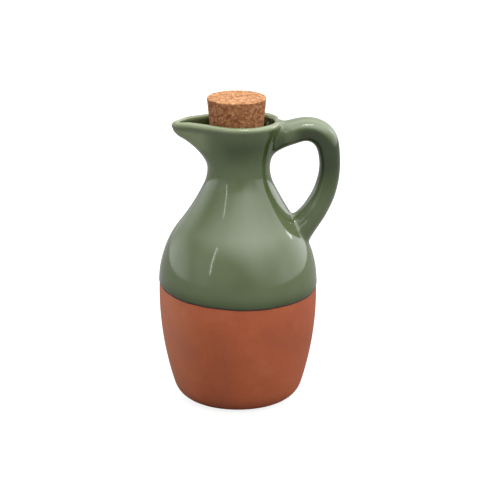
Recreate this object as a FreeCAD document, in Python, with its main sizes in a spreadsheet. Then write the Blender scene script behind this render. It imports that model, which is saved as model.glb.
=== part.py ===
import FreeCAD, Part
import math
import os
import re
import Sketcher
from types import SimpleNamespace

# A jug for drizzling oil, thrown in terracotta, with a pinched spout, a pulled handle and a
# tapered cork stopper. +Z is up, the spout points to -X, the handle is on +X, and the origin is
# the middle of the flat foot. Lengths are in millimetres and angles in degrees.

SIZES = [
    # the thrown body, in side view a chain of tangent arcs from the foot to the throat
    ("foot_radius", 22.4, "flat disc that stands on the table"),
    ("heel_curve", 13.3, "radius of the rounded heel"),
    ("belly_radius", 43.0, "widest radius of the body"),
    ("wall_curve", 172.5, "radius of the barrel-shaped wall in side view"),
    ("shoulder_height", 68.2, "height of the middle of the shoulder's arc"),
    ("shoulder_curve", 51.0, "radius of the shoulder in side view"),
    ("neck_curve", 154.0, "radius of the long hollow neck in side view"),
    ("throat_curve", 21.5, "radius of the hollow just below the throat"),
    ("throat_radius", 16.55, "outer radius at the narrowest place"),
    ("throat_height", 130.6, "height of the narrowest place"),
    ("throat_band", 1.2, "how far the narrowest place goes straight up"),
    ("wall", 4.2, "thickness of the fired clay"),
    # the mouth, round at the back and pinched out to a spout
    ("mouth_shift", 2.0, "how far the round of the lip leans to the handle"),
    ("lip_rounding", 2.0, "radius of both edges of the lip"),
    # the handle, a pulled strap along arcs and lines
    ("handle_thickness", 12.4, "in the plane of the handle"),
    ("handle_width", 17.0, "across the plane of the handle"),
    ("handle_start", 16.0, "start of the strap inside the neck, from the axis"),
    ("handle_rise", 14.0, "slope of the strap as it leaves the rim"),
    ("crest_reach", 36.6, "highest place of the strap, from the axis"),
    ("crest_height", 152.0, "highest place of the strap's centre line"),
    ("crest_curve", 27.0, "radius before the highest place"),
    ("knuckle_curve", 12.2, "radius of the outer corner"),
    ("knuckle_turn", 70.0, "how far the outer corner turns"),
    ("back_curve", 33.0, "radius from the corner to upright"),
    ("leg_curve", 43.6, "radius from upright to the leg"),
    ("leg_lean", 28.0, "lean of the leg from upright"),
    ("leg_length", 21.0, "straight leg down into the shoulder"),
    ("leg_swell", 5.0, "how much wider the leg is where it spreads on the shoulder"),
    ("upper_blend", 6.0, "radius where the strap meets the neck"),
    # the stopper
    ("stopper_radius", 16.0, "radius of the top"),
    ("stopper_top", 169.4, "height of the top"),
    ("stopper_length", 42.0, "from top to bottom"),
    ("stopper_rounding", 0.5, "radius of the edges"),
    ("seat_height", 5.4, "length of the tapered seat above the throat"),
    ("seat_gap", 0.2, "between the stopper and its seat"),
]

# Level sections of the mouth: height above the throat, how far the round part and the tip of the
# spout stand out beyond the throat, and the clay under the spout as a share of the wall.
MOUTH = [
    ("low", 5.8, 0.35, 1.95, 1.0),
    ("middle", 11.4, 1.45, 6.85, 1.45),
    ("upper", 16.8, 3.0, 13.0, 1.5),
    ("under", 21.4, 4.7, 18.4, 1.2),
    ("lip", 26.6, 5.35, 19.05, 1.0),
]
for place, height, flare, reach, clay in MOUTH:
    SIZES += [
        (f"{place}_height", height, "section of the mouth, above the throat"),
        (f"{place}_flare", flare, "its round part beyond the throat"),
        (f"{place}_reach", reach, "its spout beyond the throat"),
        (f"{place}_clay", clay, "clay under the spout there, in walls"),
    ]

# Ovals of the leg: how far down it, and what share of the swell makes it wider there.
LEG_OVALS = [(0, 0), (0.5, 0.3), (1, 1)]

doc = FreeCAD.newDocument("oil_drizzler")
sheet = doc.addObject("Spreadsheet::Sheet", "Dimensions")
for row, (alias, value, meaning) in enumerate(SIZES, start=1):
    sheet.set(f"A{row}", alias)
    sheet.set(f"B{row}", str(value))
    sheet.set(f"C{row}", meaning)
    sheet.setAlias(f"B{row}", alias)
doc.recompute()
size = SimpleNamespace(**{alias: float(value) for alias, value, _ in SIZES})

TOUCH = 0.001  # two surfaces this close are one

# Which point of a sketch element a constraint means, and the sketch's own origin and axes.
START, END, CENTRE = 1, 2, 3
ORIGIN = (-1, START)
LEVEL_AXIS, UPRIGHT_AXIS = -1, -2


def bind(thing, path, formula):
    """Binds one property to a formula in the named sizes."""
    named = vars(size)
    cells = re.sub(r"[a-z_]+", lambda w: f"Dimensions.{w[0]}" if w[0] in named else w[0], formula)
    thing.setExpression(path, cells)


def point(x, y):
    return FreeCAD.Vector(x, y, 0)


def polar(centre, radius, angle):
    return centre + point(radius * math.cos(angle), radius * math.sin(angle))


def direction(origin, target):
    return math.atan2(target.y - origin.y, target.x - origin.x)


def draw_arc(sketch, centre, radius, first, last):
    """Adds the anticlockwise arc between two directions, in radians."""
    circle = Part.Circle(centre, FreeCAD.Vector(0, 0, 1), radius)
    return sketch.addGeometry(Part.ArcOfCircle(circle, first, last))


def draw_line(sketch, start, end):
    return sketch.addGeometry(Part.LineSegment(start, end))


def relate(sketch, *constraints):
    """Adds constraints that have no size of their own."""
    for constraint in constraints:
        sketch.addConstraint(Sketcher.Constraint(*constraint))


def drive(sketch, formula, kind, *places):
    """Adds a constraint at its present size and binds that size to a formula."""
    if kind == "Radius":
        present = sketch.Geometry[places[0]].Radius
    elif kind == "Distance":
        present = sketch.Geometry[places[0]].length()
    elif kind == "Angle":
        curve = sketch.Geometry[places[0]]
        present = curve.LastParameter - curve.FirstParameter
    else:
        apart = sketch.getPoint(*places[2:]) - sketch.getPoint(*places[:2])
        present = apart.x if kind == "DistanceX" else apart.y
    index = sketch.addConstraint(Sketcher.Constraint(kind, *places, present))
    sketch.renameConstraint(index, f"size_{index}")
    bind(sketch, f"Constraints.size_{index}", formula)


def new_body(label):
    body = doc.addObject("PartDesign::Body", label)
    body.Label = label
    return body


def new_sketch(body, name, plane, height=None):
    """A sketch on one of the body's own planes, or level at a height given as a formula."""
    sketch = body.newObject("Sketcher::SketchObject", name)
    origin_plane = next(item for item in body.Origin.OriginFeatures if item.Role == plane)
    sketch.AttachmentSupport = (origin_plane, [""])
    sketch.MapMode = "FlatFace"
    if height:
        bind(sketch, "AttachmentOffset.Base.z", height)
    return sketch


SEAT_TOP = "throat_height + seat_height"
THROAT_STOPPER = "(throat_radius - wall - seat_gap)"
TAPER = f"(stopper_radius - {THROAT_STOPPER}) / (stopper_top - throat_height)"
SEAT_RADIUS = f"throat_radius - wall + seat_height * {TAPER}"


def taper():
    """How much the stopper's radius grows for each millimetre up."""
    throat_stopper = size.throat_radius - size.wall - size.seat_gap
    return (size.stopper_radius - throat_stopper) / (size.stopper_top - size.throat_height)


def seat_radius():
    return size.throat_radius - size.wall + size.seat_height * taper()


def turned_arcs():
    """Centres and directions of the side view's arcs, shared by the outside and the hollow."""
    heel = point(size.foot_radius, size.heel_curve)
    wall_x = size.belly_radius - size.wall_curve
    wall_rise = math.sqrt((size.wall_curve - size.heel_curve) ** 2 - (heel.x - wall_x) ** 2)
    wall = point(wall_x, heel.y + wall_rise)
    wall_to_shoulder = size.wall_curve - size.shoulder_curve
    turn = math.asin((size.shoulder_height - wall.y) / wall_to_shoulder)
    shoulder = polar(wall, wall_to_shoulder, turn)
    throat = point(size.throat_radius + size.throat_curve, size.throat_height)
    # the neck's arc touches the shoulder's from outside and the throat's from inside
    to_shoulder = size.neck_curve + size.shoulder_curve
    to_throat = size.neck_curve - size.throat_curve
    gap = (throat - shoulder).Length
    swing = math.acos((to_shoulder**2 + gap**2 - to_throat**2) / (2 * to_shoulder * gap))
    neck = polar(shoulder, to_shoulder, direction(shoulder, throat) - swing)
    return {
        "heel": (heel, -math.pi / 2, direction(wall, heel)),
        "wall": (wall, direction(wall, heel), turn),
        "shoulder": (shoulder, turn, direction(shoulder, neck)),
        "neck": (neck, direction(neck, throat), direction(neck, shoulder)),
        "throat": (throat, math.pi, direction(neck, throat) + 2 * math.pi),
    }


def turned_sketch(body, name, hollow):
    """Half of the side view, closed along the axis: the outside, or the hollow up to the seat."""
    sketch = new_sketch(body, name, "YZ_Plane")
    depth = size.wall if hollow else 0.0
    bulging, hollowed = (" - wall", " + wall") if hollow else ("", "")
    floor = draw_line(sketch, point(0, depth), point(size.foot_radius, depth))
    arcs = {}
    for place, (centre, first, last) in turned_arcs().items():
        inward = place in ("neck", "throat")
        radius = getattr(size, f"{place}_curve") + (depth if inward else -depth)
        arcs[place] = draw_arc(sketch, centre, radius, first, last)
        drive(sketch, f"{place}_curve" + (hollowed if inward else bulging), "Radius", arcs[place])
    edge = point(size.throat_radius - depth, size.throat_height)
    rim = (arcs["throat"], START)
    if hollow:
        top = point(seat_radius(), size.throat_height + size.seat_height)
        seat = draw_line(sketch, edge, top)
        relate(sketch, ("Coincident", seat, START, *rim))
        rim = (seat, END)
        drive(sketch, SEAT_RADIUS, "DistanceX", *ORIGIN, *rim)
        drive(sketch, SEAT_TOP, "DistanceY", *ORIGIN, *rim)
        edge = top
    lid = draw_line(sketch, edge, point(0, edge.y))
    axis = draw_line(sketch, point(0, edge.y), point(0, depth))
    relate(
        sketch,
        ("Horizontal", floor),
        ("Tangent", floor, END, arcs["heel"], START),
        ("Tangent", arcs["heel"], END, arcs["wall"], START),
        ("Tangent", arcs["wall"], END, arcs["shoulder"], START),
        ("Tangent", arcs["shoulder"], END, arcs["neck"], END),
        ("Tangent", arcs["neck"], START, arcs["throat"], END),
        ("Horizontal", arcs["throat"], START, arcs["throat"], CENTRE),
        ("Coincident", lid, START, *rim),
        ("Horizontal", lid),
        ("Coincident", lid, END, axis, START),
        ("Coincident", axis, END, floor, START),
        ("Vertical", axis),
    )
    if hollow:
        relate(sketch, ("PointOnObject", floor, START, UPRIGHT_AXIS))
        drive(sketch, "wall", "DistanceY", *ORIGIN, floor, START)
    else:
        relate(sketch, ("Coincident", floor, START, *ORIGIN))
    drive(sketch, "foot_radius", "DistanceX", *ORIGIN, floor, END)
    drive(sketch, "wall_curve - belly_radius", "DistanceX", arcs["wall"], CENTRE, *ORIGIN)
    drive(sketch, "shoulder_height", "DistanceY", *ORIGIN, arcs["shoulder"], CENTRE)
    drive(sketch, "throat_radius" + bulging, "DistanceX", *ORIGIN, arcs["throat"], START)
    drive(sketch, "throat_height", "DistanceY", *ORIGIN, arcs["throat"], START)
    return sketch


def ring_sketch(body, name, height, formula, radius):
    """A level circle in four arcs, which match the four edges of the sections above it."""
    sketch = new_sketch(body, name, "XY_Plane", height)
    turns = [math.radians(degrees) for degrees in (-115, 115, 125, 235, 245)]
    back, flank, tip, other = [
        draw_arc(sketch, point(0, 0), radius, first, last) for first, last in zip(turns, turns[1:])
    ]
    relate(
        sketch,
        ("Coincident", back, CENTRE, *ORIGIN),
        ("Vertical", back, START, back, END),
        ("Tangent", back, END, flank, START),
        ("Tangent", flank, END, tip, START),
        ("Tangent", tip, END, other, START),
        ("Coincident", other, END, back, START),
        ("Equal", back, flank),
        ("Equal", back, tip),
    )
    drive(sketch, formula, "Radius", back)
    for curve, degrees in ((back, 230), (flank, 10), (tip, 110)):
        relate(sketch, ("Angle", curve, math.radians(degrees)))
    return sketch


def mouth_sketch(body, place, inside):
    """A level section of the mouth: a round and a tip of the spout, joined by tangent flanks.

    Each flank leans 30 degrees from the spout's middle, so the two centres stand apart by twice
    the difference of the two radii.
    """
    name = f"{place}_{'inside' if inside else 'outside'}"
    sketch = new_sketch(body, name, "XY_Plane", f"throat_height + {place}_height")
    cell = {what: getattr(size, f"{place}_{what}") for what in ("flare", "reach", "clay")}
    round_formula = f"throat_radius + {place}_flare"
    reach_formula = f"throat_radius + {place}_reach"
    shift_formula = f"mouth_shift * {place}_flare / lip_flare"
    round_radius = size.throat_radius + cell["flare"]
    reach = size.throat_radius + cell["reach"]
    shift = size.mouth_shift * cell["flare"] / size.lip_flare
    if inside:
        round_formula += " - wall"
        reach_formula += f" - wall * {place}_clay"
        round_radius -= size.wall
        reach -= size.wall * cell["clay"]
    tip_formula = f"2 * ({round_formula}) - ({reach_formula}) - {shift_formula}"
    tip_radius = 2 * round_radius - reach - shift
    back_centre = point(shift, 0)
    tip_centre = point(tip_radius - reach, 0)
    turn = math.radians(120)
    back = draw_arc(sketch, back_centre, round_radius, -turn, turn)
    flank = draw_line(sketch, polar(back_centre, round_radius, turn), polar(tip_centre, tip_radius, turn))
    tip = draw_arc(sketch, tip_centre, tip_radius, turn, 2 * math.pi - turn)
    other = draw_line(sketch, polar(tip_centre, tip_radius, -turn), polar(back_centre, round_radius, -turn))
    relate(
        sketch,
        ("Tangent", back, END, flank, START),
        ("Tangent", flank, END, tip, START),
        ("Tangent", tip, END, other, START),
        ("Tangent", other, END, back, START),
        ("PointOnObject", back, CENTRE, LEVEL_AXIS),
        ("PointOnObject", tip, CENTRE, LEVEL_AXIS),
    )
    drive(sketch, round_formula, "Radius", back)
    drive(sketch, tip_formula, "Radius", tip)
    drive(sketch, shift_formula, "DistanceX", *ORIGIN, back, CENTRE)
    drive(sketch, f"{reach_formula} - ({tip_formula})", "DistanceX", tip, CENTRE, *ORIGIN)
    return sketch


def handle_spine(body):
    """The middle line of the strap, from inside the neck over the knuckle to the shoulder."""
    sketch = new_sketch(body, "handle_line", "XZ_Plane")
    upright = math.pi / 2
    rise, turn, lean = [math.radians(a) for a in (size.handle_rise, size.knuckle_turn, size.leg_lean)]
    crest = point(size.crest_reach, size.crest_height)
    crest_centre = crest - point(0, size.crest_curve)
    knuckle_centre = crest - point(0, size.knuckle_curve)
    back_centre = polar(knuckle_centre, size.knuckle_curve - size.back_curve, upright - turn)
    leg_centre = back_centre + point(size.back_curve - size.leg_curve, 0)
    rise_end = polar(crest_centre, size.crest_curve, upright + rise)
    run = rise_end.x - size.handle_start
    entry = draw_line(sketch, rise_end - point(run, run * math.tan(rise)), rise_end)
    crown = draw_arc(sketch, crest_centre, size.crest_curve, upright, upright + rise)
    knuckle = draw_arc(sketch, knuckle_centre, size.knuckle_curve, upright - turn, upright)
    back = draw_arc(sketch, back_centre, size.back_curve, 0, upright - turn)
    calf = draw_arc(sketch, leg_centre, size.leg_curve, -lean, 0)
    relate(
        sketch,
        ("Tangent", entry, END, crown, END),
        ("Tangent", crown, START, knuckle, END),
        ("Tangent", knuckle, START, back, END),
        ("Tangent", back, START, calf, END),
        ("Vertical", crown, CENTRE, crown, START),
        ("Horizontal", back, CENTRE, back, START),
    )
    for curve, name in ((crown, "crest"), (knuckle, "knuckle"), (back, "back"), (calf, "leg")):
        drive(sketch, f"{name}_curve", "Radius", curve)
    drive(sketch, "crest_reach", "DistanceX", *ORIGIN, crown, START)
    drive(sketch, "crest_height", "DistanceY", *ORIGIN, crown, START)
    drive(sketch, "handle_start", "DistanceX", *ORIGIN, entry, START)
    drive(sketch, "handle_rise", "Angle", crown)
    drive(sketch, "knuckle_turn", "Angle", knuckle)
    drive(sketch, "leg_lean", "Angle", calf)
    return sketch


def oval_sketch(body, name, place, tilt, tilt_formula, swell=0):
    """An oval of the strap, square to its middle line at a place given as two formulas."""
    sketch = new_sketch(body, name, "YZ_Plane")
    turned = FreeCAD.Rotation(FreeCAD.Vector(1, 0, 0), tilt)
    sketch.AttachmentOffset = FreeCAD.Placement(FreeCAD.Vector(0, 0, 0), turned)
    bind(sketch, "AttachmentOffset.Rotation.Angle", tilt_formula)
    bind(sketch, "AttachmentOffset.Base.z", place[0])
    bind(sketch, "AttachmentOffset.Base.y", place[1])
    half_width = (size.handle_width + swell * size.leg_swell) / 2
    half_thickness = size.handle_thickness / 2
    shape = Part.Ellipse(point(half_width, 0), point(0, half_thickness), point(0, 0))
    oval = sketch.addGeometry(shape)
    sketch.exposeInternalGeometry(oval)
    width_line, thickness_line = oval + 1, oval + 2
    relate(sketch, ("Coincident", oval, CENTRE, *ORIGIN), ("Horizontal", width_line))
    drive(sketch, f"handle_width + {swell} * leg_swell", "Distance", width_line)
    drive(sketch, "handle_thickness", "Distance", thickness_line)
    return sketch


def entry_place():
    run = "(crest_reach - crest_curve * sin(handle_rise) - handle_start)"
    fall = "crest_curve * (1 - cos(handle_rise))"
    return "handle_start", f"crest_height - {fall} - {run} * tan(handle_rise)"


def leg_place(share):
    """Where the leg's middle line is, at a share of its length down."""
    swing = "(knuckle_curve - back_curve)"
    across = f"crest_reach + {swing} * sin(knuckle_turn) + back_curve - leg_curve * (1 - cos(leg_lean))"
    up = f"crest_height - knuckle_curve + {swing} * cos(knuckle_turn) - leg_curve * sin(leg_lean)"
    return (
        f"{across} - {share} * leg_length * sin(leg_lean)",
        f"{up} - {share} * leg_length * cos(leg_lean)",
    )


def build_handle(body):
    """A strap of one section along its arcs, then a leg that swells into the shoulder."""
    spine = handle_spine(body)
    strap = body.newObject("PartDesign::AdditivePipe", "strap")
    strap.Profile = oval_sketch(body, "entry_oval", entry_place(), -size.handle_rise, "0 - handle_rise")
    strap.Spine = (spine, [f"Edge{n}" for n in range(1, spine.GeometryCount + 1)])
    ovals = [
        oval_sketch(body, f"leg_oval_{n}", leg_place(share), 90 + size.leg_lean, "90 + leg_lean", swell)
        for n, (share, swell) in enumerate(LEG_OVALS, start=1)
    ]
    loft(body, "Additive", "leg", ovals)
    doc.recompute()
    return strap


def loft(body, kind, name, sections):
    feature = body.newObject(f"PartDesign::{kind}Loft", name)
    feature.Profile = sections[0]
    feature.Sections = sections[1:]
    return feature


def turn_around_axis(body, kind, name, sketch):
    feature = body.newObject(f"PartDesign::{kind}", name)
    feature.Profile = sketch
    feature.ReferenceAxis = (sketch, ["V_Axis"])
    feature.Angle = 360
    return feature


def edge_names(feature, wanted):
    """Names of the feature's edges that a rule picks."""
    return [f"Edge{n}" for n, edge in enumerate(feature.Shape.Edges, start=1) if wanted(edge)]


def on_lip(edge):
    box = edge.BoundBox
    top = size.throat_height + size.lip_height
    return abs(box.ZMin - top) < TOUCH and abs(box.ZMax - top) < TOUCH


def blend_upper_joint(body, neck, handle):
    """Rounds the clay where the strap is pressed onto the neck."""
    clay = neck.Shape
    seams = Part.Compound(clay.Edges)

    def on_joint(edge):
        middle = Part.Vertex(edge.valueAt((edge.FirstParameter + edge.LastParameter) / 2))
        touches = middle.distToShape(clay)[0] < TOUCH and middle.distToShape(seams)[0] > TOUCH
        return touches and edge.CenterOfMass.z > size.throat_height

    blend = body.newObject("PartDesign::Fillet", "upper_joint")
    blend.Base = (handle, edge_names(handle, on_joint))
    bind(blend, "Radius", "upper_blend")


def round_lip(body, name, base):
    """Rounds the edge of the lip that the base shape has."""
    lip = body.newObject("PartDesign::Fillet", name)
    lip.Base = (base, edge_names(base, on_lip))
    bind(lip, "Radius", "lip_rounding")
    return lip


def build_jug():
    body = new_body("jug")
    turn_around_axis(body, "Revolution", "thrown_body", turned_sketch(body, "outside_view", False))
    outside = [
        ring_sketch(body, name, height, "throat_radius", size.throat_radius)
        for name, height in (("throat", "throat_height"), ("throat_top", "throat_height + throat_band"))
    ]
    outside += [mouth_sketch(body, place[0], False) for place in MOUTH]
    mouth = loft(body, "Additive", "mouth", outside)
    doc.recompute()
    neck = round_lip(body, "outer_lip", mouth)
    doc.recompute()
    handle = build_handle(body)
    blend_upper_joint(body, neck, body.Tip)
    turn_around_axis(body, "Groove", "hollow", turned_sketch(body, "hollow_view", True))
    inside = [ring_sketch(body, "seat_inside", SEAT_TOP, SEAT_RADIUS, seat_radius())]
    inside += [mouth_sketch(body, place[0], True) for place in MOUTH[1:]]
    pour_way = loft(body, "Subtractive", "pour_way", inside)
    doc.recompute()
    round_lip(body, "inner_lip", pour_way)
    return body


def build_stopper():
    body = new_body("stopper")
    sketch = new_sketch(body, "stopper_view", "XZ_Plane")
    top, bottom = size.stopper_top, size.stopper_top - size.stopper_length
    corners = [
        point(0, bottom),
        point(size.stopper_radius - size.stopper_length * taper(), bottom),
        point(size.stopper_radius, top),
        point(0, top),
    ]
    base, side, lid, axis = [
        draw_line(sketch, start, end) for start, end in zip(corners, corners[1:] + corners[:1])
    ]
    relate(
        sketch,
        ("Coincident", base, END, side, START),
        ("Coincident", side, END, lid, START),
        ("Coincident", lid, END, axis, START),
        ("Coincident", axis, END, base, START),
        ("Horizontal", base),
        ("Horizontal", lid),
        ("Vertical", axis),
        ("PointOnObject", axis, START, UPRIGHT_AXIS),
    )
    drive(sketch, "stopper_top", "DistanceY", *ORIGIN, lid, END)
    drive(sketch, "stopper_length", "Distance", axis)
    drive(sketch, "stopper_radius", "Distance", lid)
    drive(sketch, f"stopper_radius - stopper_length * {TAPER}", "Distance", base)
    cone = turn_around_axis(body, "Revolution", "cone", sketch)
    doc.recompute()
    rounding = body.newObject("PartDesign::Fillet", "rounding")
    rims = edge_names(cone, lambda edge: isinstance(edge.Curve, Part.Circle))
    rounding.Base = (cone, rims)
    bind(rounding, "Radius", "stopper_rounding")
    return body


jug = build_jug()
stopper = build_stopper()
doc.recompute()
for item in doc.Objects:
    if "Invalid" in item.State or "Error" in item.State:
        raise RuntimeError(f"{item.Label} failed: {item.State}")
os.makedirs("parts", exist_ok=True)
for body in (jug, stopper):
    if body.Shape.isNull() or not body.Shape.isValid():
        raise RuntimeError(f"{body.Label} has no valid shape")
    body.Shape.exportStep(f"parts/{body.Label}.step")
    shape = body.Shape
    print(body.Label, round(shape.Volume), len(shape.Solids), len(shape.Faces), shape.BoundBox)
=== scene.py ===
"""Looks of a glazed earthenware oil jug with a cork stopper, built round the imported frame.

Lengths are in mm unless a comment says otherwise, and MM makes them metres.
"""
import math

import bpy
import numpy as np
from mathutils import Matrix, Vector, noise


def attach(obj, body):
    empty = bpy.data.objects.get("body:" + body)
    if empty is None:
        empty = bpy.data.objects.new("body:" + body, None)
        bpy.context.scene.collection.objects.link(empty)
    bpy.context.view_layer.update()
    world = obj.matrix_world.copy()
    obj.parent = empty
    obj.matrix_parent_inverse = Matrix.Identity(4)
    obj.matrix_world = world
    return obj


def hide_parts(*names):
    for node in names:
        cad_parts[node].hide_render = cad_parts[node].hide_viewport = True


MM = 0.001
TURN = 2 * math.pi
COLUMNS = 128  # vertical lines of the thrown wall
LOOP = 56  # corners of each joint's opening, and of each ring of the strap
SPOUT = math.pi  # the lip points along -X, the handle along +X

# The thrown wall outside, as arcs that meet smoothly: (radius, height) at the end, curve, steps.
# A minus curve bends outwards, as the neck does.
FOOT_RADIUS = 22.4
BODY_ARCS = [
    (35.1, 9.33, 13.3, 9),
    (42.68, 71.34, 172.5, 36),
    (32.65, 98.73, 51.0, 16),
    (18.91, 120.79, -154.0, 15),
    (16.55, 130.59, -21.5, 6),
]
FOOT_RINGS = (3.0, 9.0, 15.0, 20.0)  # radii of the rows across the flat foot
CLAY = 4.2  # thickness of the fired wall
NECK_SHIFT, SHIFT_FROM, SHIFT_TO = 0.55, 92.0, 116.0  # off the foot's centre, and between what heights
NECK_SWELL, SWELL_FROM, SWELL_TO = 0.4, 100.0, 126.0  # thicker than the arcs, and between what heights

GLAZE_ROW_HEIGHT = 66.9  # middle of the line where the dipped glaze ends
DIP_LEAN = (-1.11, 3.30)  # how far that line rises towards +X and +Y
DIP_WAVER = [(3, 0.8, 0.16), (7, 2.1, 0.1), (17, 0.0, 0.05)]  # waves round the jug, phase, height
DIP_ROWS = 16  # rows above and below the line that follow its lean
# The bead of glaze: (height above the line, thickness). Other rows stay clear of it.
GLAZE_STEPS = [(-0.9, 0.0), (-0.25, 0.0), (0.0, 0.16), (0.28, 0.36), (0.8, 0.4), (1.7, 0.33)]
GLAZE_CLEAR = 1.75
COAT_THINS_FROM, COAT_THINS_TO, COAT_THINS_BY = 1.7, 17.7, 0.999  # above the line

# The mouth: (radius of the round, height, its centre from the axis, reach of the lip).
MOUTH_OUTSIDE = [
    (16.95, 130.59, 0.55, 16.42),
    (17.05, 133.5, 0.62, 16.95),
    (17.35, 136.4, 0.80, 18.45),
    (17.8, 139.2, 1.05, 20.5),
    (18.35, 142.0, 1.30, 23.1),
    (19.0, 144.8, 1.55, 26.4),
    (19.7, 147.4, 1.85, 29.6),
    (20.4, 150.0, 2.10, 32.8),
    (21.0, 152.4, 2.25, 34.75),
]
MOUTH_INSIDE = [
    (17.35, 153.2, 2.3, 30.9),
    (16.4, 150.0, 1.8, 27.8),
    (15.2, 146.5, 1.3, 23.2),
    (14.1, 142.5, 0.7, 18.4),
    (13.25, 138.5, 0.0, 14.9),
    (12.75, 134.5, -0.45, 13.3),
    (12.45, 131.0, -0.5, 12.95),
    (12.35, 127.0, -0.5, 12.85),
]
MOUTH_ROWS_OUTSIDE = 13  # rows between the first and the last above
MOUTH_ROWS_INSIDE = 14
INSIDE_TOP, INSIDE_BOTTOM, INSIDE_ROWS = 121.0, 12.0, 30  # where the hollow follows the wall
FLOOR_RINGS = [(30.6, 8.4), (27.0, 6.0), (21.0, 4.9), (12.0, 4.5), (3.0, 4.5)]  # radius, height
LIP_HEIGHT = 155.0
LIP_ROUND = 19.7
LIP_CENTRE = 2.3
LIP_REACH = 33.4
LIP_ROLL = 2.15  # radius of the rolled edge
LIP_ROLL_TURN = [*range(-38, 123, 16), *range(140, 201, 20)]  # degrees round the roll, one row each
LIP_DROOP = 1.2
DROOP_FROM, DROOP_TO = 25.5, 33.5  # from the axis towards the lip
DROOP_LOW, DROOP_HIGH = 140.0, 150.0  # heights
# The wall's columns are drawn together at the lip's nose, where its curve is tight.
NOSE_GATHER = 0.35
NOSE_SPREAD = 0.7  # radians
GATHER_LOW, GATHER_HIGH = 131.0, 149.0  # heights
# Wet clay softens the outline: (degrees aside, weight), and how wide the nose is kept full.
SOFTENING = [(-9, 1), (-6, 2), (-3, 3), (0, 4), (3, 3), (6, 2), (9, 1)]
NOSE_KEPT = math.radians(11)

# The strap's spine, from the neck round to the belly: (X, Z, thickness, width).
STRAP = [
    (29.6, 150.35, 12.9, 17.2),
    (33.4, 151.4, 12.6, 16.7),
    (37.3, 151.8, 12.6, 16.5),
    (41.6, 151.0, 12.9, 16.5),
    (45.4, 148.6, 13.2, 16.5),
    (47.6, 145.4, 12.9, 16.4),
    (48.8, 141.6, 12.2, 16.3),
    (49.5, 136.7, 11.6, 16.2),
    (49.7, 131.5, 11.35, 16.1),
    (49.2, 126.0, 11.5, 16.1),
    (48.1, 121.0, 11.8, 16.1),
    (46.7, 116.4, 12.1, 16.2),
    (44.8, 112.2, 12.4, 16.5),
    (42.9, 108.7, 12.8, 17.0),
]
STRAP_RINGS = 46
STRAP_SQUARENESS = 2.3  # 2 is an ellipse
UPPER_STEPS, LOWER_STEPS = 9, 12  # rings that blend each end into the wall
# How strongly those rings leave the neck, meet the strap, leave the strap and meet the belly.
# The weld on the belly is tight outside and under the strap's foot, and rounder in the crotch.
FROM_NECK, TO_STRAP, FROM_STRAP = 0.9, 0.8, 0.95
TO_BELLY_TIGHT, TO_BELLY_ROUND = 0.35, 0.75
# Each joint's opening: height of its middle, half its width, how far it goes up and down the wall,
# how much it narrows upwards, its cells across and up, how many times its size the wall's grid
# bends round it, and how far from its edge and how often the wet weld is smoothed.
UPPER_JOINT = {
    "height": 146.6, "half": 9.7, "up": 11.2, "down": 12.4, "narrow": 0.15,
    "cells": (18, 10), "reach": 2.6, "weld": 2.3, "eased": 4,
}
LOWER_JOINT = {
    "height": 96.6, "half": 10.2, "up": 9.3, "down": 10.6, "narrow": 0.0,
    "cells": (14, 14), "reach": 2.2, "weld": 2.2, "eased": 3,
}
JOINT_ROWS = 26  # rows of the wall above and below a joint that it may bend
JOINT_SIDE = 1.5  # radians from the handle's middle
INNER_STEP = 0.93  # a slightly smaller oval, which tells the wall's slope at the opening
SPINE_STEP = 0.02  # how far apart along the spine its direction is measured
SPUN_NEAR, WELD_NEAR = 0.01, 0.04  # vertices nearer than this are one, after a spin and at a weld
NEAREST_CELL = 0.2  # the grid isn't drawn closer to the opening's middle than this

STOPPER_TOP = 169.4
STOPPER_LENGTH = 42.0
STOPPER_RADIUS = 16.02
STOPPER_TAPER = 0.0985
STOPPER_SHIFT = -0.5  # along X
STOPPER_ROWS = 76
STOPPER_UNDER = (2.0, 6.0, 9.0)  # radii of the rows across its lower end
STOPPER_LOWER_EDGE = [(0.5, 0.0), (0.15, 0.15)]  # its round: (in from the side, up)
STOPPER_UPPER_EDGE = [(0.12, 0.28), (0.45, 0.0)]  # its round: (in from the side, down)
STOPPER_FLAT = (1.0, 0.6, 24)  # rows across the top: in from the side, last radius, how many
PIT_APART, PIT_SIZE, PIT_DEPTH = 2.3, 0.34, 0.35  # the second is a share of the first
PIT_FIELD, PIT_FIELD_FROM = 3.1, 0.12  # pits come only in patches of this size
GRAIN_SIZE, GRAIN_DEPTH = 1.1, 0.05
STREAK_SIZE, STREAK_SQUASH = 1.8, 3.5  # streaks lie round the cork, squashed in height
# How dark the pits are, the side all over and the streaks on it, which begin at a noise value.
PIT_DARK, SIDE_DARK, STREAK_DARK, STREAK_FROM = 1.5, 0.28, 1.1, 0.08
CORK_CREASE = math.radians(50)  # edges sharper than this stay sharp

# How thick the glaze lies, from 0 thin and pale to 1 thick and dark, and what each place adds, together with
# painted shade under the rim, on the strap's upright sides and inside the mouth, and painted light under the
# lip's side and on the strap's top.
# A pair after it says where the place begins and where it is full, or its middle and its spread.
DEPTH_PLAIN = 0.46
# painted shade on the neck under the rolled rim, from the lip's side towards the handle
PAINTED_SHADE_UNDER_RIM = 0.3
UNDER_RIM_BAND = (144.0, 8.0)  # height
UNDER_RIM_SIDE = (-17.0, -2.0)  # X, so that the lip's side stays pale
NECK_RADIUS = 27.0  # wider than the neck, and short of the strap
# painted shade on the strap's faces that do not point up
PAINTED_SHADE_STRAP_SIDES = 0.38
STRAP_SIDE = (27.0, 35.0)  # X
STRAP_RISE = (108.0, 133.0)  # height
DEPTH_ABOVE_DIP = 0.36
ABOVE_DIP_SPREAD = 4.0
DEPTH_LIP_EDGE = -0.5
LIP_EDGE_BAND = (156.2, 1.7)  # height
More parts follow.
